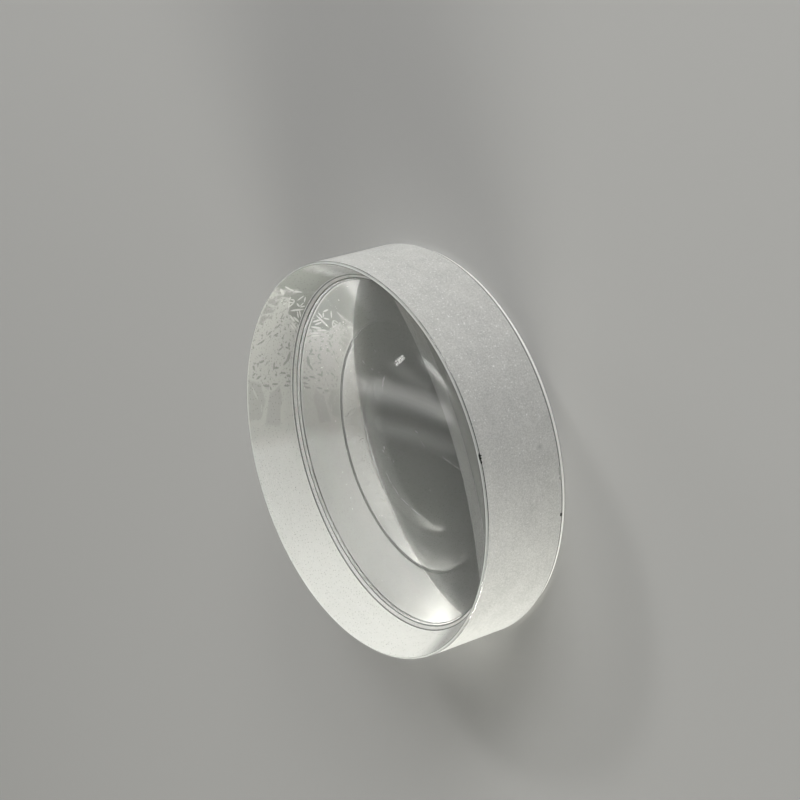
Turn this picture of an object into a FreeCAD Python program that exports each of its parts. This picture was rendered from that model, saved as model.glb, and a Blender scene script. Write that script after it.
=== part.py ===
import FreeCAD, Part
import Sketcher
import math
import os

# A biconcave lens, ground from one disc of clear glass, lying flat on its rear rim.
# Both faces are polished spherical bowls, and each opens at a fine bevel on the rim.
# The cylindrical edge between the bevels is fine-ground.
# Lengths are in millimetres.
# The optical axis is +Z, and the origin is the centre of the circle that the lens rests on.

SIZES = {
    "edge_diameter": 25.4,
    "centre_thickness": 1.0,
    "front_radius": 32.2,
    "rear_radius": 32.2,
    "front_bevel_width": 0.14,
    "front_bevel_depth": 0.14,
    "rear_bevel_width": 0.19,
    "rear_bevel_depth": 0.38,
}

doc = FreeCAD.newDocument("biconcave_lens")


def make_sheet():
    sheet = doc.addObject("Spreadsheet::Sheet", "Sizes")
    for row, (alias, value) in enumerate(SIZES.items(), start=1):
        sheet.set(f"A{row}", alias)
        sheet.set(f"B{row}", str(value))
        sheet.setAlias(f"B{row}", alias)
    doc.recompute()
    return sheet


sheet = make_sheet()


# The section of the lens, right of the axis

V_AXIS = -2
H_AXIS = -1
START = 1
END = 2
CENTRE = 3


def bowl_depth(radius, half_aperture):
    return radius - math.sqrt(radius ** 2 - half_aperture ** 2)


def section_arc(centre_y, radius, start_angle, end_angle):
    circle = Part.Circle(FreeCAD.Vector(0, centre_y, 0), FreeCAD.Vector(0, 0, 1), radius)
    return Part.ArcOfCircle(circle, start_angle, end_angle)


def section_line(start, end):
    return Part.LineSegment(FreeCAD.Vector(*start, 0), FreeCAD.Vector(*end, 0))


def add_section_geometry(sketch):
    """Draw the closed outline, counter-clockwise from the front bowl's deepest point."""
    edge_radius = sheet.edge_diameter / 2
    front_half_aperture = edge_radius - sheet.front_bevel_width
    rear_half_aperture = edge_radius - sheet.rear_bevel_width
    rear_depth = bowl_depth(sheet.rear_radius, rear_half_aperture)
    front_depth = bowl_depth(sheet.front_radius, front_half_aperture)
    front_pole = rear_depth + sheet.centre_thickness
    rim_height = front_pole + front_depth
    front_angle = math.asin(front_half_aperture / sheet.front_radius)
    rear_angle = math.asin(rear_half_aperture / sheet.rear_radius)

    front_bevel_low = (edge_radius, rim_height - sheet.front_bevel_depth)
    rear_bevel_high = (edge_radius, sheet.rear_bevel_depth)
    front_bowl = section_arc(
        front_pole + sheet.front_radius,
        sheet.front_radius,
        1.5 * math.pi,
        1.5 * math.pi + front_angle,
    )
    rear_bowl = section_arc(
        rear_depth - sheet.rear_radius,
        sheet.rear_radius,
        0.5 * math.pi - rear_angle,
        0.5 * math.pi,
    )
    return {
        "front_bowl": sketch.addGeometry(front_bowl),
        "front_bevel": sketch.addGeometry(
            section_line((front_half_aperture, rim_height), front_bevel_low)
        ),
        "edge": sketch.addGeometry(section_line(front_bevel_low, rear_bevel_high)),
        "rear_bevel": sketch.addGeometry(
            section_line(rear_bevel_high, (rear_half_aperture, 0))
        ),
        "rear_bowl": sketch.addGeometry(rear_bowl),
        "axis": sketch.addGeometry(section_line((0, rear_depth), (0, front_pole))),
    }


def close_section(sketch, lines):
    """Join the six curves end to end and keep both bowls centred on the axis."""
    joints = (
        ("front_bowl", END, "front_bevel", START),
        ("front_bevel", END, "edge", START),
        ("edge", END, "rear_bevel", START),
        ("rear_bevel", END, "rear_bowl", START),
        ("rear_bowl", END, "axis", START),
        ("axis", END, "front_bowl", START),
    )
    for first, first_end, second, second_end in joints:
        sketch.addConstraint(
            Sketcher.Constraint("Coincident", lines[first], first_end, lines[second], second_end)
        )
    on_axis = (
        ("axis", START),
        ("axis", END),
        ("front_bowl", CENTRE),
        ("rear_bowl", CENTRE),
    )
    for name, point in on_axis:
        sketch.addConstraint(Sketcher.Constraint("PointOnObject", lines[name], point, V_AXIS))
    sketch.addConstraint(Sketcher.Constraint("Vertical", lines["edge"]))
    sketch.addConstraint(
        Sketcher.Constraint("PointOnObject", lines["rear_bevel"], END, H_AXIS)
    )


def drive(sketch, name, constraint, formula):
    """Add a named dimension and bind it to the sheet."""
    index = sketch.addConstraint(constraint)
    sketch.renameConstraint(index, name)
    sketch.setExpression(f"Constraints.{name}", formula)


def dimension_section(sketch, lines):
    front_bevel = lines["front_bevel"]
    rear_bevel = lines["rear_bevel"]
    drive(
        sketch,
        "EdgeRadius",
        Sketcher.Constraint("DistanceX", -1, 1, lines["edge"], START, sheet.edge_diameter / 2),
        "Sizes.edge_diameter / 2",
    )
    drive(
        sketch,
        "CentreThickness",
        Sketcher.Constraint(
            "DistanceY", lines["axis"], START, lines["axis"], END, sheet.centre_thickness
        ),
        "Sizes.centre_thickness",
    )
    drive(
        sketch,
        "FrontRadius",
        Sketcher.Constraint("Radius", lines["front_bowl"], sheet.front_radius),
        "Sizes.front_radius",
    )
    drive(
        sketch,
        "RearRadius",
        Sketcher.Constraint("Radius", lines["rear_bowl"], sheet.rear_radius),
        "Sizes.rear_radius",
    )
    drive(
        sketch,
        "FrontBevelWidth",
        Sketcher.Constraint(
            "DistanceX", front_bevel, START, front_bevel, END, sheet.front_bevel_width
        ),
        "Sizes.front_bevel_width",
    )
    drive(
        sketch,
        "FrontBevelDepth",
        Sketcher.Constraint(
            "DistanceY", front_bevel, END, front_bevel, START, sheet.front_bevel_depth
        ),
        "Sizes.front_bevel_depth",
    )
    drive(
        sketch,
        "RearBevelWidth",
        Sketcher.Constraint(
            "DistanceX", rear_bevel, END, rear_bevel, START, sheet.rear_bevel_width
        ),
        "Sizes.rear_bevel_width",
    )
    drive(
        sketch,
        "RearBevelDepth",
        Sketcher.Constraint(
            "DistanceY", rear_bevel, END, rear_bevel, START, sheet.rear_bevel_depth
        ),
        "Sizes.rear_bevel_depth",
    )


# The glass, turned once round the optical axis


def origin_plane(body, role):
    for feature in body.Origin.OriginFeatures:
        if feature.Role == role:
            return feature
    raise ValueError(f"no origin plane {role}")


def make_lens():
    body = doc.addObject("PartDesign::Body", "Lens")
    body.Label = "lens"
    section = body.newObject("Sketcher::SketchObject", "LensSection")
    section.AttachmentSupport = [(origin_plane(body, "XZ_Plane"), "")]
    section.MapMode = "FlatFace"
    doc.recompute()
    lines = add_section_geometry(section)
    close_section(section, lines)
    dimension_section(section, lines)
    doc.recompute()
    if section.solve() != 0 or not section.FullyConstrained:
        raise ValueError("the lens section isn't fully constrained")

    turned = body.newObject("PartDesign::Revolution", "TurnedGlass")
    turned.Profile = section
    turned.ReferenceAxis = (section, ["V_Axis"])
    turned.Angle = 360
    doc.recompute()
    return body


def check(parts):
    for item in doc.Objects:
        if "Invalid" in item.State or "Error" in item.State:
            raise ValueError(f"{item.Label} failed: {item.State}")
    for part in parts:
        if part.Shape.isNull() or not part.Shape.isValid():
            raise ValueError(f"{part.Label} has no valid shape")


def export(parts):
    os.makedirs("parts", exist_ok=True)
    for part in parts:
        part.Shape.exportStep(f"parts/{part.Label}.step")


lens = make_lens()
check([lens])
export([lens])

box = lens.Shape.BoundBox
print(f"lens: {box.XLength:.3f} x {box.YLength:.3f} x {box.ZLength:.3f} mm")
print(f"edge thickness {box.ZLength:.3f} mm, volume {lens.Shape.Volume:.2f} cubic mm")
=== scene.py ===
import math

import bmesh
import bpy
from mathutils import Matrix, Vector


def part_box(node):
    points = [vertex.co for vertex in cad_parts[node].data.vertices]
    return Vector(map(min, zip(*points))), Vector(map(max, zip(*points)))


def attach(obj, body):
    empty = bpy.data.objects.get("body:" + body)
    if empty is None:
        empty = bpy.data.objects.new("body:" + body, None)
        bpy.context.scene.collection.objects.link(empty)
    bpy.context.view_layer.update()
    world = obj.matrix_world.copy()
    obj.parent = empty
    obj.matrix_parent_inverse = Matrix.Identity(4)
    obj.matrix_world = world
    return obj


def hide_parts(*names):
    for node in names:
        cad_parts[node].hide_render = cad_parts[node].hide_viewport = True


# A biconcave lens of clear glass lying on its rear rim.
# Both bowls are polished, the cylindrical edge and the two bevels are ground.
# Lengths are in metres, and in millimetres where the name or the comment says so.

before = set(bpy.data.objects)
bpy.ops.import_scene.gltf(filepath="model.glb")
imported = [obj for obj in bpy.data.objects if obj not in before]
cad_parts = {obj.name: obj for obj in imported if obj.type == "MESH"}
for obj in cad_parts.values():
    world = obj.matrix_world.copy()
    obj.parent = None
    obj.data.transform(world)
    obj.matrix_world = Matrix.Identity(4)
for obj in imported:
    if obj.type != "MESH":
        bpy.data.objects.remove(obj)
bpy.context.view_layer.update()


# Sizes of the glass

_, lens_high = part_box("lens")
EDGE_RADIUS = lens_high.x
RIM_HEIGHT = lens_high.z
BOWL_RADIUS = 0.0322
FRONT_BEVEL_WIDTH = 0.00014
FRONT_BEVEL_DEPTH = 0.00014
REAR_BEVEL_WIDTH = 0.00019
REAR_BEVEL_DEPTH = 0.00038
CORNER_WEAR = 0.000022

# The rear bevel is painted dark grey along both its borders, as painted shade, and chalky between them.
# These are the heights where its finish changes, and the width of the dark-painted ring on the bowl beside
# it.
REAR_DARK_ABOVE = 0.00028
REAR_DARK_BELOW = 0.00003
REAR_BOWL_DARK_RING = 0.00010

# Chips in the outer corners: degrees round the axis, height, length, width, depth and finish
# Each chip's faces take one of the two dark-painted finishes: painted shade.
CHIPS = (
    (-7.8, RIM_HEIGHT - 0.00012, 0.00050, 0.00018, 0.00005, "corner"),
    (-9.0, RIM_HEIGHT - 0.00013, 0.00034, 0.00012, 0.00003, "corner"),
    (-18.0, REAR_BEVEL_DEPTH + 0.00004, 0.00048, 0.00022, 0.00003, "painted_dark_border"),
    (-19.6, REAR_BEVEL_DEPTH + 0.00003, 0.00042, 0.00018, 0.00003, "painted_dark_border"),
    (-30.4, REAR_BEVEL_DEPTH, 0.00026, 0.00022, 0.00004, "corner"),
)
# The mesh is cut finer round a chip, as far out as this share of its length
CHIP_CUTS = 4
CHIP_SURROUNDINGS = 0.6

SECTORS = 12
SECTOR_STEPS = 40
BOWL_STEPS = 56
EDGE_STEPS = 20
BEVEL_STEPS = 2
CORNER_STEPS = 2
MERGE_DISTANCE = 1e-7

# Borders between finishes that turn by more than this, in radians, are corners
CORNER_ANGLE = 0.1


# The glass, spun from its section

def arc_section(inner, outer, centre_height, side, steps):
    """Points of a bowl's arc between two distances from the axis.

    The side is 1 above the arc's centre and -1 below it.
    """
    first_angle = math.asin(inner / BOWL_RADIUS)
    last_angle = math.asin(outer / BOWL_RADIUS)
    points = []
    for step in range(steps + 1):
        angle = first_angle + (last_angle - first_angle) * step / steps
        radial = BOWL_RADIUS * math.sin(angle)
        height = centre_height + side * BOWL_RADIUS * math.cos(angle)
        points.append(Vector((radial, 0, height)))
    return points


def line_section(start, end, steps):
    return [start.lerp(end, step / steps) for step in range(steps + 1)]


def lens_sections():
    front_half_aperture = EDGE_RADIUS - FRONT_BEVEL_WIDTH
    rear_half_aperture = EDGE_RADIUS - REAR_BEVEL_WIDTH
    front_centre = RIM_HEIGHT + math.sqrt(BOWL_RADIUS ** 2 - front_half_aperture ** 2)
    rear_centre = -math.sqrt(BOWL_RADIUS ** 2 - rear_half_aperture ** 2)
    rear_clear = rear_half_aperture - REAR_BOWL_DARK_RING
    front_rim = Vector((front_half_aperture, 0, RIM_HEIGHT))
    edge_top = Vector((EDGE_RADIUS, 0, RIM_HEIGHT - FRONT_BEVEL_DEPTH))
    edge_bottom = Vector((EDGE_RADIUS, 0, REAR_BEVEL_DEPTH))
    rear_rim = Vector((rear_half_aperture, 0, 0))
    chalky_top = rear_rim.lerp(edge_bottom, REAR_DARK_ABOVE / REAR_BEVEL_DEPTH)
    chalky_bottom = rear_rim.lerp(edge_bottom, REAR_DARK_BELOW / REAR_BEVEL_DEPTH)
    return [
        ("polished", arc_section(0, front_half_aperture, front_centre, -1, BOWL_STEPS)),
        ("bevel", line_section(front_rim, edge_top, BEVEL_STEPS)),
        ("ground", line_section(edge_top, edge_bottom, EDGE_STEPS)),
        # The rear bevel's two borders and a thin ring of the rear bowl are painted dark grey: painted shade.
        ("painted_dark_border", line_section(edge_bottom, chalky_top, BEVEL_STEPS)),
        ("bevel", line_section(chalky_top, chalky_bottom, BEVEL_STEPS)),
        ("painted_dark_border", line_section(chalky_bottom, rear_rim, 1)),
        ("painted_dark_border", arc_section(rear_clear, rear_half_aperture, rear_centre, 1, 1)),
        ("polished", arc_section(0, rear_clear, rear_centre, 1, BOWL_STEPS)),
    ]


def spin_section(bm, points, material_index):
    """Turn one stretch of the section round the optical axis, through one sector."""
    before = set(bm.faces)
    corners = [bm.verts.new(point) for point in points]
    lines = [bm.edges.new(pair) for pair in zip(corners, corners[1:])]
    bmesh.ops.spin(
        bm,
        geom=corners + lines,
        cent=(0, 0, 0),
        axis=(0, 0, 1),
        angle=2 * math.pi / SECTORS,
        steps=SECTOR_STEPS,
    )
    for face in set(bm.faces) - before:
        face.material_index = material_index


def repeat_sector(bm):
    """Copy the spun sector round the axis until it closes."""
    first = bm.verts[:] + bm.edges[:] + bm.faces[:]
    for sector in range(1, SECTORS):
        copy = bmesh.ops.duplicate(bm, geom=first)["geom"]
        bmesh.ops.rotate(
            bm,
            verts=[part for part in copy if isinstance(part, bmesh.types.BMVert)],
            cent=(0, 0, 0),
            matrix=Matrix.Rotation(2 * math.pi * sector / SECTORS, 3, "Z"),
        )


def between_finishes(edge):
    return len({face.material_index for face in edge.link_faces}) > 1


def round_corners(bm, material_index):
    """Wear the four sharp circles beside the bevels to a small round."""
    sharp = [edge for edge in bm.edges if between_finishes(edge) and edge.calc_face_angle() > CORNER_ANGLE]
    painted_dark_border = bmesh.ops.bevel(
        bm,
        geom=sharp,
        offset=CORNER_WEAR,
        offset_type="OFFSET",
        affect="EDGES",
        segments=CORNER_STEPS,
        profile=0.5,
        material=-1,
    )
    # The rounded corners take the dark-tinted corner finish: painted shade.
    for face in painted_dark_border["faces"]:
        face.material_index = material_index


def knock_chips(bm, names):
    """Knock the small chips out of the two outer corners, always inwards, on a mesh cut finer there."""
    for degrees, height, length, width, depth, finish in CHIPS:
        turn = math.radians(degrees)
        outward = Vector((math.cos(turn), math.sin(turn), 0))
        along = Vector((-math.sin(turn), math.cos(turn), 0))
        middle = outward * EDGE_RADIUS + Vector((0, 0, height))
        surroundings = CHIP_SURROUNDINGS * length
        near = [
            edge for edge in bm.edges
            if min((vert.co - middle).length for vert in edge.verts) < surroundings
        ]
        bmesh.ops.subdivide_edges(bm, edges=near, cuts=CHIP_CUTS, use_grid_fill=True)

        def reach(point):
            away = point - middle
            lengthwise = away.dot(along)
            across = (away - along * lengthwise).length
            return math.hypot(2 * lengthwise / length, 2 * across / width)

        inward = -outward
        if height > RIM_HEIGHT / 2:
            inward = (inward - Vector((0, 0, 1))).normalized()
        # The chip's faces take its dark-painted finish: painted shade.
        for face in bm.faces:
            if reach(face.calc_center_median()) < 1:
                face.material_index = names.index(finish)
        for vert in bm.verts:
            part = reach(vert.co)
            if part < 1:
                vert.co += inward * depth * (1 - part ** 2)


def make_lens(materials):
    bm = bmesh.new()
    names = list(materials)
    for name, points in lens_sections():
        spin_section(bm, points, names.index(name))
    repeat_sector(bm)
    bmesh.ops.remove_doubles(bm, verts=bm.verts, dist=MERGE_DISTANCE)
    bmesh.ops.recalc_face_normals(bm, faces=bm.faces)
    round_corners(bm, names.index("corner"))
    knock_chips(bm, names)
    for face in bm.faces:
        face.smooth = True
    for edge in bm.edges:
        edge.smooth = not between_finishes(edge)
    mesh = bpy.data.meshes.new("lens_glass")
    bm.to_mesh(mesh)
    bm.free()
    for name in names:
        mesh.materials.append(materials[name])
    lens = bpy.data.objects.new("lens_glass", mesh)
    bpy.context.scene.collection.objects.link(lens)
    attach(lens, "root")
    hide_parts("lens")


# Shading helpers

def new_material(name):
    material = bpy.data.materials.new(name)
    material.use_nodes = True
    tree = material.node_tree
    return material, tree, tree.nodes["Principled BSDF"]


def add_node(tree, kind, inputs=None, **settings):
    """Add a node, then set or link its inputs by name or number."""
    node = tree.nodes.new(kind)
    for setting, value in settings.items():
        setattr(node, setting, value)
    for key, value in (inputs or {}).items():
        if isinstance(value, bpy.types.NodeSocket):
            tree.links.new(value, node.inputs[key])
        else:
            node.inputs[key].default_value = value
    return node


def maths(tree, operation, *values):
    node = add_node(tree, "ShaderNodeMath", dict(enumerate(values)), operation=operation)
    return node.outputs[0]


def times(tree, first, second):
    return maths(tree, "MULTIPLY", first, second)


def smooth_step(tree, value, low, high):
    """0 where value is at low, 1 where it is at high, whichever is larger."""
    inputs = {"Value": value, "From Min": low, "From Max": high}
    node = add_node(tree, "ShaderNodeMapRange", inputs, interpolation_type="SMOOTHSTEP")
    return node.outputs["Result"]


def mix_colours(tree, factor, first, second):
    inputs = {"Factor": factor, 6: first, 7: second}
    return add_node(tree, "ShaderNodeMix", inputs, data_type="RGBA").outputs[2]


def noise(tree, vector, scale, detail=2.0, roughness=0.5):
    inputs = {"Vector": vector, "Scale": scale, "Detail": detail, "Roughness": roughness}
    return add_node(tree, "ShaderNodeTexNoise", inputs).outputs["Fac"]


def cells(tree, vector, scale, dimensions):
    """Distance to the nearest cell's centre, and a random value of that cell."""
    inputs = {"Vector": vector, "Scale": scale}
    node = add_node(tree, "ShaderNodeTexVoronoi", inputs, voronoi_dimensions=dimensions)
    value = add_node(tree, "ShaderNodeSeparateColor", {"Color": node.outputs["Color"]})
    return node.outputs["Distance"], value.outputs[0]


def specks(tree, vector, scale, radius, share, dimensions="3D"):
    """Small round marks in a share of the cells, 1 on a mark and 0 elsewhere."""
    distance, chance = cells(tree, vector, scale, dimensions)
    mark = smooth_step(tree, distance, radius, 0.5 * radius)
    chosen = maths(tree, "LESS_THAN", chance, share)
    return maths(tree, "MULTIPLY", mark, chosen)


def stretched(tree, vector, scale):
    inputs = {"Vector": vector, "Scale": scale}
    return add_node(tree, "ShaderNodeMapping", inputs).outputs[0]


def millimetres(tree):
    """Object coordinates in millimetres."""
    coordinates = add_node(tree, "ShaderNodeTexCoord")
    inputs = {0: coordinates.outputs["Object"], "Scale": 1000.0}
    return add_node(tree, "ShaderNodeVectorMath", inputs, operation="SCALE").outputs[0]


def bump(tree, height, depth, strength):
    inputs = {"Height": height, "Distance": depth, "Strength": strength}
    return add_node(tree, "ShaderNodeBump", inputs).outputs["Normal"]


# Finishes of the glass

GLASS_IOR = 1.517
POLISHED_TINT = (0.975, 0.985, 0.975, 1)
GROUND_CLEAN = (0.90, 0.91, 0.90, 1)
# The near half of the ground edge is painted these dark greys: painted shade.
GROUND_SHADED_LOW = (0.325, 0.328, 0.322, 1)
GROUND_SHADED_HIGH = (0.49, 0.492, 0.481, 1)
# White of the painted glints, also used for the thin strips beside the bevels.
GROUND_SPARKLE = (1.0, 1.0, 1.0, 1)
GROUND_DARK = (0.22, 0.22, 0.22, 1)
# The far half of the ground edge is painted these near whites: painted light.
FAR_PAINTED_LIGHT_LOW = (0.90, 0.91, 0.885, 1)
FAR_PAINTED_LIGHT_HIGH = (0.99, 0.99, 0.975, 1)
FILM_COLOUR = (0.69, 0.685, 0.66, 1)
FILM_GAP = (0.33, 0.341, 0.316, 1)
NEEDLE_COLOUR = (0.88, 0.88, 0.85, 1)

# The front bevel is painted these greys: painted shade.
FRONT_BEVEL_SHADE_OUTER = (0.24, 0.25, 0.24, 1)
FRONT_BEVEL_SHADE_INNER = (0.42, 0.43, 0.42, 1)
BEVEL_REAR = (0.88, 0.885, 0.87, 1)
# Dark grey tint of the rounded corners: painted shade.
CORNER_PAINTED_DARK = (0.42, 0.44, 0.42, 1)
# Dark grey painted on the rear bevel's borders: painted shade.
REAR_BORDER_PAINTED_DARK = (0.23, 0.24, 0.23, 1)

# How much of the light a finish lets through instead of scattering it
GROUND_CLEARNESS = 0.4
BEVEL_CLEARNESS = 0.3

# The worn corners let all of it through, but blurred
CORNER_ROUGHNESS = 0.15

# Each noise has its scale, its detail and sometimes its roughness, and a share is its part in the tone.
# Each bump has its depth in metres and its strength.
GRAIN = (11.0, 3.0, 0.7)
GRAIN_SHARE = 0.6
MOTTLE = (0.8, 2.0)
MOTTLE_SHARE = 0.12
WHEEL_STRETCH = (0.45, 0.45, 7.0)
WHEEL_NOISE = (1.0, 3.0)
WHEEL_SHARE = 0.08
TONE_RANGE = (0.28, 0.52)
WHEEL_RELIEF = 0.6
GROUND_BUMP = (0.00002, 0.5)
BEVEL_GRAIN = (9.0, 2.0)
BEVEL_BUMP = (0.00001, 0.4)

# Specks: scale, radius and share of the cells that have one, and how strong they are
# The two sparkle specks are white spots painted into the colour: painted glints.
FINE_SPARKLE = (5.2, 0.30, 0.55)
FINE_SPARKLE_STRENGTH = 0.30
BRIGHT_SPARKLE = (2.6, 0.15, 0.16)
BRIGHT_SPARKLE_STRENGTH = 0.6
PITS = (1.1, 0.06, 0.35)
PIT_STRENGTH = 0.6
FINE_DUST = (4.0, 0.15, 0.6)
FINE_DUST_STRENGTH = 0.26
COARSE_DUST = (1.1, 0.04, 0.16)
COARSE_DUST_STRENGTH = 0.3

# The front bevel's painted shade turns from its outer to its inner grey between these depths below the rim,
# in millimetres
BEVEL_TURN_MM = (0.08, 0.04)

# The far half of the ground edge is painted near white as painted light, and the near half dark grey as
# painted shade; the far half begins this many degrees either side of the +X direction
PAINTED_LIGHT_DEGREES = (80, 94)

# The edge is whiter in a thin strip beside each bevel: how far from mid-height it starts, in millimetres
EDGE_MIDDLE_MM = 3.16
WHITE_STRIP_MM = (2.60, 2.68)
WHITE_STRIP_STRENGTH = 0.6

# Dust lies only on the upper bowl
DUST_ABOVE_MM = 3.0

# Marks on the upper bowl: both ends in millimetres from the axis, and the width.
# A bent scratch is a chain of marks.
MARK_STRENGTH = 0.45
MARK_WANDER = (2.5, 0.10)
BOWL_MARKS = (
    ((3.62, 0.91), (3.96, 0.61), 0.10),
    ((6.12, -1.06), (7.45, -1.70), 0.05),
    ((7.45, -1.70), (8.93, -2.32), 0.05),
    ((6.60, -6.39), (6.68, -6.39), 0.12),
    ((7.00, 6.29), (7.06, 6.29), 0.09),
    ((2.77, 6.40), (2.77, 6.13), 0.07),
    ((-0.53, 0.54), (-0.62, 0.30), 0.12),
    ((-0.84, 0.39), (-0.70, 0.10), 0.08),
    ((0.03, -0.61), (-0.08, -0.52), 0.10),
    ((-0.39, -0.28), (-0.45, -0.20), 0.08),
    ((0.83, 6.05), (0.95, 5.75), 0.08),
    ((1.40, 5.40), (1.55, 5.20), 0.08),
    ((2.00, 5.05), (2.15, 4.90), 0.07),
    ((3.91, 0.23), (4.33, -0.40), 0.05),
    ((3.40, -2.80), (3.55, -3.00), 0.07),
    ((3.97, -3.55), (4.05, -3.62), 0.08),
    ((5.60, -2.81), (5.75, -2.88), 0.07),
    ((-1.19, -0.93), (-0.86, -1.96), 0.05),
    ((-0.86, -1.96), (-0.30, -2.81), 0.05),
    ((-0.30, -2.81), (0.59, -3.57), 0.05),
    ((0.59, -3.57), (1.87, -4.43), 0.05),
)

# Three soft smears with a wiping cloth's streaks, partly real haze and partly a painted reflection of a lamp:
# both ends in millimetres from the axis, width and strength
SMEARS_AND_SHEEN = (
    ((-1.9, 5.05), (10.6, 0.65), 2.3, 0.21),
    ((-3.0, 2.60), (9.4, -1.30), 1.7, 0.08),
    ((3.6, 5.10), (8.2, 2.60), 2.6, 0.05),
)
SMEAR_END_FADE = (1.0, 0.75)
SMEAR_SIDE_FADE = (1.0, 0.1)
CLOTH_STRETCH = (0.8, 5.0, 1)
CLOTH_NOISE = (1.0, 4.0, 0.6)
CLOTH_GAIN = 1.4
CLOTH_BASE = 0.3

# The painted glints on the ground edge are few up to the first of these degrees and full from the second
SPARKLE_DEGREES = (-50, 25)
SPARKLE_LEAST = 0.3

# A dark stain on the ground edge, facing the camera
STAIN_DEGREES = -10
STAIN_HEIGHT_MM = 1.61
STAIN_RADIUS_MM = 0.30
STAIN_STRENGTH = 0.6

# The dried film on the far side of the ground edge, in degrees round the axis and millimetres up the edge.
# Each needle or fleck has its two ends and its width.
# Each bare patch has its corners in turn and how bare it is.
# Each pair of degrees says where a fade begins and where it is full.
FILM_START_DEGREES = (109.0, 112.0)
FILM_END_DEGREES = (169.5, 161.5)
CLEAN_DEGREES = (87, 97)
BORDER_NOISE = (0.8, 3.0)
BORDER_WANDER_DEGREES = 8.0
STREAK_LENGTH = 0.60
STREAK_WIDTH = 0.70
STREAK_FADE = (0.02, 0.38)
PATCH_FADE_MM = (-0.08, 0.17)
PATCH_WANDER = (1.7, 0.45)
FLECK_WANDER = (4.0, 0.22)
NEEDLE_WANDER = (1.5, 0.07)
FLECK_STRENGTH = 0.75
SPECKLE_NOISE = (3.0, 4.0, 0.62)
SPECKLE_RANGE = (0.425, 0.385)
SPECKLE_DEGREES = (150.0, 146.0)
SPECKLE_STRENGTH = 0.75
THIN_STRETCH = (2.2, 0.8, 1)
THIN_NOISE = (1.0, 3.0)
THIN_RANGE = (0.40, 0.56)
THIN_STRENGTH = 0.6
NEEDLES = (
    ((117.3, 2.39), (116.0, 0.64), 0.21),
    ((115.0, 1.33), (114.3, 0.70), 0.18),
    ((113.2, 2.04), (114.9, 1.42), 0.15),
    ((111.8, 2.16), (108.5, 1.70), 0.15),
    ((114.6, 1.39), (112.4, 1.16), 0.15),
    ((112.2, 1.10), (109.1, 1.41), 0.15),
    ((117.3, 1.45), (120.7, 0.90), 0.14),
    ((116.6, 1.24), (120.1, 0.61), 0.14),
    ((115.7, 2.85), (113.4, 2.43), 0.16),
    ((113.4, 2.43), (111.7, 2.59), 0.14),
    ((116.2, 2.79), (113.1, 3.03), 0.15),
    ((111.9, 3.19), (110.1, 3.30), 0.14),
    ((111.4, 3.11), (111.7, 2.59), 0.12),
    ((113.0, 3.20), (113.3, 2.41), 0.12),
    ((120.1, 1.66), (122.6, 0.63), 0.18),
    ((123.0, 1.59), (125.4, 0.76), 0.14),
    ((123.8, 1.75), (126.5, 0.83), 0.14),
    ((113.5, 4.20), (112.5, 3.96), 0.15),
    ((114.8, 3.68), (113.7, 3.40), 0.14),
    ((105.8, 4.19), (106.7, 3.38), 0.15),
    ((106.7, 3.38), (106.7, 2.24), 0.12),
    ((104.6, 4.9), (106.4, 3.8), 0.15),
    ((106.2, 5.2), (109.4, 4.3), 0.25),
    ((119.4, 2.3), (122.4, 1.2), 0.18),
)
FLECKS = (
    ((118.8, 3.1), (121.8, 3.15), 0.15),
    ((122.0, 3.1), (123.0, 2.9), 0.12),
    ((119.6, 2.6), (121.0, 2.4), 0.14),
    ((123.6, 3.0), (126.1, 3.5), 0.15),
    ((126.8, 3.8), (128.6, 4.3), 0.15),
    ((127.6, 2.9), (128.7, 3.5), 0.14),
    ((112.6, 3.6), (113.7, 4.2), 0.13),
    ((114.0, 3.4), (115.3, 3.7), 0.12),
    ((123.4, 1.8), (127.3, 0.5), 0.09),
    ((129.2, 2.4), (130.0, 2.2), 0.16),
    ((130.2, 4.4), (132.2, 5.2), 0.14),
    ((131.8, 2.3), (133.8, 2.0), 0.13),
    ((133.4, 2.0), (134.8, 2.5), 0.14),
    ((131.4, 1.3), (134.0, 1.15), 0.20),
    ((133.2, 1.7), (134.2, 1.2), 0.14),
    ((135.2, 0.9), (139.2, 1.15), 0.32),
    ((138.2, 1.05), (140.4, 1.7), 0.20),
    ((138.9, 2.85), (141.9, 2.85), 0.20),
    ((141.1, 3.0), (141.3, 2.2), 0.18),
    ((138.3, 4.1), (139.0, 4.7), 0.14),
    ((139.6, 5.3), (141.0, 5.2), 0.22),
    ((142.4, 5.0), (143.2, 5.3), 0.16),
    ((143.4, 4.3), (144.6, 4.9), 0.14),
    ((147.0, 4.1), (147.4, 3.3), 0.18),
    ((147.6, 3.25), (149.0, 3.1), 0.16),
    ((146.9, 3.0), (147.1, 2.2), 0.15),
    ((143.0, 1.9), (143.6, 1.3), 0.18),
    ((144.2, 1.2), (144.8, 0.6), 0.20),
    ((146.6, 1.2), (146.5, 0.6), 0.16),
    ((148.0, 1.5), (148.1, 0.7), 0.14),
)
BARE_PATCHES = (
    (
        ((105.2, 0.4), (106.0, 2.4), (109.0, 3.6), (112.6, 3.2), (117.6, 2.7), (121.6, 1.9), (124.0, 0.4)),
        0.95,
    ),
    (((107.4, 1.9), (107.6, 4.2), (110.4, 4.4), (111.6, 1.9)), 0.8),
    (((144.0, 5.8), (158.6, 5.8), (157.6, 4.35), (152.2, 3.75), (146.4, 4.25)), 0.32),
    (((150.0, 3.3), (160.5, 4.1), (161.5, 2.2), (157.0, 1.2), (151.5, 1.7), (146.0, 1.35)), 0.32),
)
THIN_PATCH = ((105.5, 4.3), (106.0, 5.7), (124.0, 5.7), (122.0, 4.3))
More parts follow.
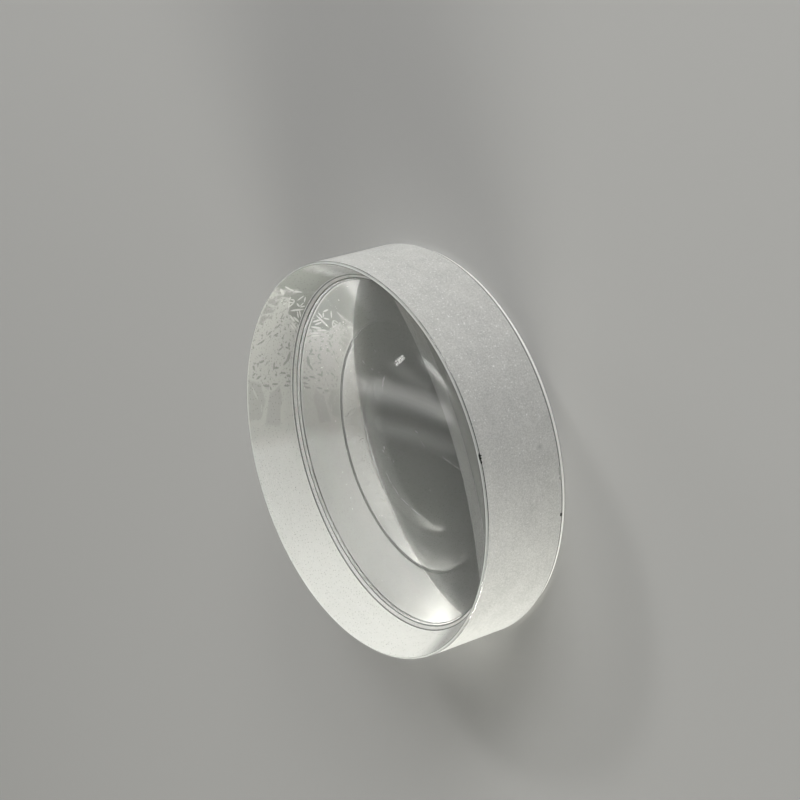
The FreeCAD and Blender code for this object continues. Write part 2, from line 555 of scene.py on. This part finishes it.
LIGHT_STREAKS = (
    ((146.6, 5.4), (151.8, 4.65), 0.16),
    ((146.2, 1.7), (150.0, 3.35), 0.14),
    ((149.6, 3.35), (155.0, 3.75), 0.14),
    ((154.0, 3.6), (160.5, 4.8), 0.26),
    ((153.0, 4.3), (156.0, 4.4), 0.14),
)


def set_glass(shader, colour, roughness, transmission):
    shader.inputs["Base Color"].default_value = colour
    shader.inputs["IOR"].default_value = GLASS_IOR
    shader.inputs["Roughness"].default_value = roughness
    shader.inputs["Transmission Weight"].default_value = transmission


def smear_and_sheen(tree, flat, start, end, width, strength):
    """One soft, straight wipe that fades at both sides and both ends, partly haze and partly a painted
    reflection.
    """
    first, last = Vector((*start, 0)), Vector((*end, 0))
    run = last - first
    inputs = {
        "Vector": flat,
        "Location": (first + last) / 2,
        "Rotation": (0, 0, math.atan2(run.y, run.x)),
        "Scale": (run.length / 2, width / 2, 1),
    }
    local = add_node(tree, "ShaderNodeMapping", inputs, vector_type="TEXTURE").outputs[0]
    parts = add_node(tree, "ShaderNodeSeparateXYZ", {0: local})
    lengthwise = smooth_step(tree, maths(tree, "ABSOLUTE", parts.outputs["X"]), *SMEAR_END_FADE)
    across = smooth_step(tree, maths(tree, "ABSOLUTE", parts.outputs["Y"]), *SMEAR_SIDE_FADE)
    cloth = noise(tree, stretched(tree, local, CLOTH_STRETCH), *CLOTH_NOISE)
    cloth = maths(tree, "MULTIPLY_ADD", cloth, CLOTH_GAIN, CLOTH_BASE)
    return times(tree, times(tree, lengthwise, across), times(tree, cloth, strength))


def polished_material():
    """Clear polished glass with fine dust, a few specks and hairline scratches, and smears that are partly
    wiped haze and partly a painted reflection.
    """
    material, tree, shader = new_material("polished_glass")
    set_glass(shader, POLISHED_TINT, 0.0, 1.0)
    place = millimetres(tree)
    flattened = add_node(tree, "ShaderNodeVectorMath", {0: place, 1: (1, 1, 0)}, operation="MULTIPLY")
    across = flattened.outputs[0]
    fine_dust = times(tree, specks(tree, across, *FINE_DUST, "2D"), FINE_DUST_STRENGTH)
    coarse_dust = times(tree, specks(tree, across, *COARSE_DUST, "2D"), COARSE_DUST_STRENGTH)
    points = [(Vector((*start, 0)), Vector((*end, 0)), width) for start, end, width in BOWL_MARKS]
    marks = times(tree, streaks(tree, ragged(tree, across, *MARK_WANDER), points), MARK_STRENGTH)
    dust = maths(tree, "MAXIMUM", marks, maths(tree, "MAXIMUM", fine_dust, coarse_dust))
    # The smears are partly real haze and partly a painted reflection of a lamp.
    haze_and_sheen = 0.0
    for start, end, width, strength in SMEARS_AND_SHEEN:
        haze_and_sheen = maths(tree, "ADD", haze_and_sheen, smear_and_sheen(tree, across, start, end, width, strength))
    height = add_node(tree, "ShaderNodeSeparateXYZ", {0: place}).outputs["Z"]
    on_top = maths(tree, "GREATER_THAN", height, DUST_ABOVE_MM)
    soiled_and_sheen = times(tree, maths(tree, "MAXIMUM", dust, haze_and_sheen), on_top)
    clear = maths(tree, "SUBTRACT", 1.0, soiled_and_sheen)
    tree.links.new(clear, shader.inputs["Transmission Weight"])
    return material


def edge_coordinates(tree, place):
    """Angle, height and unrolled place on the edge, in millimetres; the seam is at the -X side."""
    parts = add_node(tree, "ShaderNodeSeparateXYZ", {0: place})
    angle = maths(tree, "ARCTAN2", parts.outputs["Y"], parts.outputs["X"])
    along = times(tree, angle, EDGE_RADIUS * 1000)
    flat = add_node(tree, "ShaderNodeCombineXYZ", {"X": along, "Y": parts.outputs["Z"]})
    return maths(tree, "DEGREES", angle), flat.outputs[0]


def unrolled(point):
    degrees, height = point
    return Vector((math.radians(degrees) * EDGE_RADIUS * 1000, height, 0))


def unrolled_marks(marks):
    return [(unrolled(start), unrolled(end), width) for start, end, width in marks]


def streaks(tree, flat, marks):
    """1 on any of the thin pointed marks, fading at their borders."""
    cover = 0.0
    for first, last, width in marks:
        run = last - first
        inputs = {
            "Vector": flat,
            "Location": (first + last) / 2,
            "Rotation": (0, 0, math.atan2(run.y, run.x)),
            "Scale": (STREAK_LENGTH * run.length, STREAK_WIDTH * width, 1),
        }
        local = add_node(tree, "ShaderNodeMapping", inputs, vector_type="TEXTURE").outputs[0]
        mark = add_node(tree, "ShaderNodeTexGradient", {0: local}, gradient_type="SPHERICAL")
        cover = maths(tree, "MAXIMUM", cover, mark.outputs["Fac"])
    return smooth_step(tree, cover, *STREAK_FADE)


def bare_patch(tree, flat, corners):
    """1 inside the outline that runs clockwise through the corners, fading at its border."""
    points = [unrolled(corner) for corner in corners]
    inside = 10.0
    for start, end in zip(points, points[1:] + points[:1]):
        inward = Vector((end.y - start.y, start.x - end.x, 0)).normalized()
        reach = add_node(tree, "ShaderNodeVectorMath", {0: flat, 1: inward}, operation="DOT_PRODUCT")
        distance = maths(tree, "SUBTRACT", reach.outputs["Value"], inward.dot(start))
        inside = maths(tree, "MINIMUM", inside, distance)
    return smooth_step(tree, inside, *PATCH_FADE_MM)


def ragged(tree, flat, scale, amount):
    """Shift a place by a little noise, so that a straight border turns ragged."""
    wander = add_node(tree, "ShaderNodeTexNoise", {"Vector": flat, "Scale": scale, "Detail": 3.0})
    centred = add_node(
        tree, "ShaderNodeVectorMath", {0: wander.outputs["Color"], 1: (0.5, 0.5, 0.5)}, operation="SUBTRACT"
    )
    inputs = {0: centred.outputs[0], 1: (amount, amount, 0), 2: flat}
    return add_node(tree, "ShaderNodeVectorMath", inputs, operation="MULTIPLY_ADD").outputs[0]


def dried_film(tree, place):
    """The film on the edge, from 1 to 0 on its bare spots, its light needles, and where its patch reaches."""
    degrees, flat = edge_coordinates(tree, place)
    wander = maths(tree, "MULTIPLY_ADD", noise(tree, flat, *BORDER_NOISE), BORDER_WANDER_DEGREES, degrees)
    start = smooth_step(tree, wander, *FILM_START_DEGREES)
    fade = smooth_step(tree, degrees, *FILM_END_DEGREES)
    clean = smooth_step(tree, wander, *CLEAN_DEGREES)
    zone = times(tree, clean, fade)

    bent = ragged(tree, flat, *PATCH_WANDER)
    bare = 0.0
    for corners, strength in BARE_PATCHES:
        bare = maths(tree, "MAXIMUM", bare, times(tree, bare_patch(tree, bent, corners), strength))
    streaky = smooth_step(tree, noise(tree, stretched(tree, flat, THIN_STRETCH), *THIN_NOISE), *THIN_RANGE)
    thin = times(tree, bare_patch(tree, bent, THIN_PATCH), times(tree, streaky, THIN_STRENGTH))
    bare = maths(tree, "MAXIMUM", bare, thin)
    fine = ragged(tree, flat, *FLECK_WANDER)
    flecks = times(tree, streaks(tree, fine, unrolled_marks(FLECKS)), FLECK_STRENGTH)
    specked = smooth_step(tree, noise(tree, flat, *SPECKLE_NOISE), *SPECKLE_RANGE)
    near_start = smooth_step(tree, degrees, *SPECKLE_DEGREES)
    specked = times(tree, specked, times(tree, near_start, SPECKLE_STRENGTH))
    open_spots = maths(tree, "MAXIMUM", flecks, specked)
    straight = ragged(tree, flat, *NEEDLE_WANDER)
    needles = streaks(tree, straight, unrolled_marks(NEEDLES))
    light_streaks = streaks(tree, straight, unrolled_marks(LIGHT_STREAKS))

    film = maths(tree, "SUBTRACT", 1.0, maths(tree, "MAXIMUM", bare, open_spots))
    film = maths(tree, "MAXIMUM", times(tree, film, start), light_streaks)
    return film, needles, zone


def ground_material():
    """Fine-ground edge: grain, faint wheel marks, painted glints, one dark stain and a dried film, with
    painted light on its far half and painted shade on its near half.
    """
    material, tree, shader = new_material("ground_glass")
    set_glass(shader, GROUND_CLEAN, 1.0, GROUND_CLEARNESS)
    place = millimetres(tree)

    grain = noise(tree, place, *GRAIN)
    mottle = noise(tree, place, *MOTTLE)
    wheel_marks = noise(tree, stretched(tree, place, WHEEL_STRETCH), *WHEEL_NOISE)
    tone = maths(tree, "MULTIPLY_ADD", grain, GRAIN_SHARE, times(tree, wheel_marks, WHEEL_SHARE))
    tone = maths(tree, "MULTIPLY_ADD", mottle, MOTTLE_SHARE, tone)
    weight = smooth_step(tree, tone, *TONE_RANGE)
    colour = mix_colours(tree, weight, GROUND_SHADED_LOW, GROUND_SHADED_HIGH)
    # Painted glints: white specks mixed into the colour, fewer on one side of the edge.
    fine_sparkle = times(tree, specks(tree, place, *FINE_SPARKLE), FINE_SPARKLE_STRENGTH)
    bright_sparkle = times(tree, specks(tree, place, *BRIGHT_SPARKLE), BRIGHT_SPARKLE_STRENGTH)
    degrees, flat = edge_coordinates(tree, place)
    facing = smooth_step(tree, degrees, *SPARKLE_DEGREES)
    glitter = maths(tree, "MULTIPLY_ADD", facing, 1 - SPARKLE_LEAST, SPARKLE_LEAST)
    sparkle = times(tree, maths(tree, "MAXIMUM", fine_sparkle, bright_sparkle), glitter)
    colour = mix_colours(tree, sparkle, colour, GROUND_SPARKLE)
    pits = specks(tree, place, *PITS)
    colour = mix_colours(tree, times(tree, pits, PIT_STRENGTH), colour, GROUND_DARK)

    round_half = maths(tree, "ABSOLUTE", degrees)
    # Painted light: the far half turns near white; the near half keeps the darker greys of painted shade.
    far_half_painted_light = smooth_step(tree, round_half, *PAINTED_LIGHT_DEGREES)
    colour = mix_colours(tree, far_half_painted_light, colour, mix_colours(tree, weight, FAR_PAINTED_LIGHT_LOW, FAR_PAINTED_LIGHT_HIGH))

    stain_place = unrolled((STAIN_DEGREES, STAIN_HEIGHT_MM))
    away = add_node(tree, "ShaderNodeVectorMath", {0: flat, 1: stain_place}, operation="DISTANCE")
    stain = smooth_step(tree, away.outputs["Value"], STAIN_RADIUS_MM, 0.0)
    colour = mix_colours(tree, times(tree, stain, STAIN_STRENGTH), colour, GROUND_DARK)

    film, needles, zone = dried_film(tree, place)
    dried = mix_colours(tree, needles, mix_colours(tree, film, FILM_GAP, FILM_COLOUR), NEEDLE_COLOUR)
    colour = mix_colours(tree, zone, colour, dried)

    height = add_node(tree, "ShaderNodeSeparateXYZ", {0: place}).outputs["Z"]
    from_middle = maths(tree, "ABSOLUTE", maths(tree, "SUBTRACT", height, EDGE_MIDDLE_MM))
    strip = smooth_step(tree, from_middle, *WHITE_STRIP_MM)
    strip = times(tree, strip, times(tree, far_half_painted_light, WHITE_STRIP_STRENGTH))
    colour = mix_colours(tree, strip, colour, GROUND_SPARKLE)
    tree.links.new(colour, shader.inputs["Base Color"])

    relief = maths(tree, "ADD", grain, times(tree, wheel_marks, WHEEL_RELIEF))
    tree.links.new(bump(tree, relief, *GROUND_BUMP), shader.inputs["Normal"])
    return material


def bevel_material():
    """The two bevels: the rear one is chalky, the front one painted grey as painted shade, darker towards the
    edge.
    """
    material, tree, shader = new_material("bevel_glass")
    set_glass(shader, BEVEL_REAR, 1.0, BEVEL_CLEARNESS)
    place = millimetres(tree)
    height = add_node(tree, "ShaderNodeSeparateXYZ", {0: place}).outputs["Z"]
    rim_mm = RIM_HEIGHT * 1000
    inner = smooth_step(tree, height, rim_mm - BEVEL_TURN_MM[0], rim_mm - BEVEL_TURN_MM[1])
    front = mix_colours(tree, inner, FRONT_BEVEL_SHADE_OUTER, FRONT_BEVEL_SHADE_INNER)
    colour = mix_colours(tree, maths(tree, "GREATER_THAN", height, EDGE_MIDDLE_MM), BEVEL_REAR, front)
    tree.links.new(colour, shader.inputs["Base Color"])
    grain = noise(tree, place, *BEVEL_GRAIN)
    tree.links.new(bump(tree, grain, *BEVEL_BUMP), shader.inputs["Normal"])
    return material


def corner_material():
    """The worn corners beside each bevel, clear glass tinted dark grey: a painted shade line."""
    material, _, shader = new_material("corner_glass")
    set_glass(shader, CORNER_PAINTED_DARK, CORNER_ROUGHNESS, 1.0)
    return material


def painted_dark_border_material():
    """The borders of the rear bevel and the ring of the bowl beside it, painted dark grey: painted shade."""
    material, _, shader = new_material("painted_dark_border_glass")
    set_glass(shader, REAR_BORDER_PAINTED_DARK, 1.0, 0.0)
    return material


make_lens(
    {
        "polished": polished_material(),
        "ground": ground_material(),
        "bevel": bevel_material(),
        "corner": corner_material(),
        "painted_dark_border": painted_dark_border_material(),
    }
)


# Floor, light and camera

FLOOR_HALF_SIZE = 1.5
FLOOR_COLOUR = (0.30, 0.30, 0.296, 1)
FLOOR_ROUGHNESS = 0.9
FLOOR_SHINE = 0.2

# How far the light of a softbox fades in from its border, as a share of its side
SOFTBOX_FADE = 0.4

# Softboxes: name, degrees round the axis, degrees above the horizon, distance, width, height, power in watts
# and colour
WARM_WHITE = (1.0, 0.995, 0.97)
SOFTBOXES = (
    ("key_softbox", 262, 8, 0.32, 0.30, 0.06, 7.6, (1.0, 0.99, 0.92)),
    ("side_softbox", 38, 14, 0.32, 0.20, 0.12, 2.0, WARM_WHITE),
    ("high_softbox", 55, 32, 0.40, 0.36, 0.30, 4.0, WARM_WHITE),
    ("rear_high_softbox", 108, 30, 0.36, 0.10, 0.06, 1.2, WARM_WHITE),
    ("back_softbox", 138, 12, 0.30, 0.10, 0.10, 0.45, (1, 1, 1)),
)
ROOM_LIGHT = 0.03
LIGHT_BOUNCES = 24


def make_floor():
    bm = bmesh.new()
    bmesh.ops.create_grid(bm, x_segments=1, y_segments=1, size=FLOOR_HALF_SIZE)
    mesh = bpy.data.meshes.new("floor")
    bm.to_mesh(mesh)
    bm.free()
    floor = bpy.data.objects.new("floor", mesh)
    bpy.context.scene.collection.objects.link(floor)
    material, _, shader = new_material("floor_paper")
    shader.inputs["Base Color"].default_value = FLOOR_COLOUR
    shader.inputs["Roughness"].default_value = FLOOR_ROUGHNESS
    shader.inputs["Specular IOR Level"].default_value = FLOOR_SHINE
    mesh.materials.append(material)


def soften_edges(light):
    """Let the light fade towards its border, as cloth over a box does."""
    light.use_nodes = True
    tree = light.node_tree
    emission = tree.nodes["Emission"]
    where = add_node(tree, "ShaderNodeNewGeometry").outputs["Parametric"]
    parts = add_node(tree, "ShaderNodeSeparateXYZ", {0: where})
    glow = None
    for side in ("X", "Y"):
        inward = maths(tree, "PINGPONG", parts.outputs[side], 0.5)
        fade = smooth_step(tree, inward, 0.0, SOFTBOX_FADE)
        glow = fade if glow is None else times(tree, glow, fade)
    tree.links.new(glow, emission.inputs["Strength"])


def softbox(name, azimuth, elevation, distance, width, height, power, colour):
    """A soft light aimed at the origin, from the place that its row in SOFTBOXES gives."""
    light = bpy.data.lights.new(name, "AREA")
    light.shape = "RECTANGLE"
    light.size = width
    light.size_y = height
    light.energy = power
    light.color = colour
    soften_edges(light)
    lamp = bpy.data.objects.new(name, light)
    bpy.context.scene.collection.objects.link(lamp)
    a = math.radians(azimuth)
    e = math.radians(elevation)
    out = Vector((math.cos(a) * math.cos(e), math.sin(a) * math.cos(e), math.sin(e)))
    lamp.location = out * distance
    lamp.rotation_euler = (-out).to_track_quat("-Z", "Y").to_matrix().to_euler()


def make_light():
    world = bpy.data.worlds.new("studio")
    bpy.context.scene.world = world
    world.use_nodes = True
    background = world.node_tree.nodes["Background"]
    background.inputs["Color"].default_value = (1.0, 1.0, 1.0, 1)
    background.inputs["Strength"].default_value = ROOM_LIGHT
    for box in SOFTBOXES:
        softbox(*box)


# The camera, fitted to the photo's view of the lens

CAMERA_PLACE = (0.115158, 0.0, 0.078179)
CAMERA_LOOK = (-0.83289548, 0.02184298, -0.5529991)
CAMERA_UP = (0.17901687, 0.95613526, -0.23185841)
CAMERA_LENS_MM = 98.5903
SENSOR_MM = 36.0
CAMERA_CLIP = (0.005, 10)


def make_camera():
    look = Vector(CAMERA_LOOK).normalized()
    up = Vector(CAMERA_UP)
    right = look.cross(up).normalized()
    up = right.cross(look)
    data = bpy.data.cameras.new("camera")
    data.lens = CAMERA_LENS_MM
    data.sensor_width = SENSOR_MM
    data.clip_start, data.clip_end = CAMERA_CLIP
    camera = bpy.data.objects.new("camera", data)
    bpy.context.scene.collection.objects.link(camera)
    turn = Matrix((right, up, -look)).transposed()
    camera.matrix_world = Matrix.Translation(CAMERA_PLACE) @ turn.to_4x4()
    bpy.context.scene.camera = camera


make_floor()
make_light()
make_camera()
bpy.context.scene.view_settings.view_transform = "Standard"
bpy.context.scene.cycles.transmission_bounces = LIGHT_BOUNCES
bpy.context.scene.cycles.max_bounces = LIGHT_BOUNCES
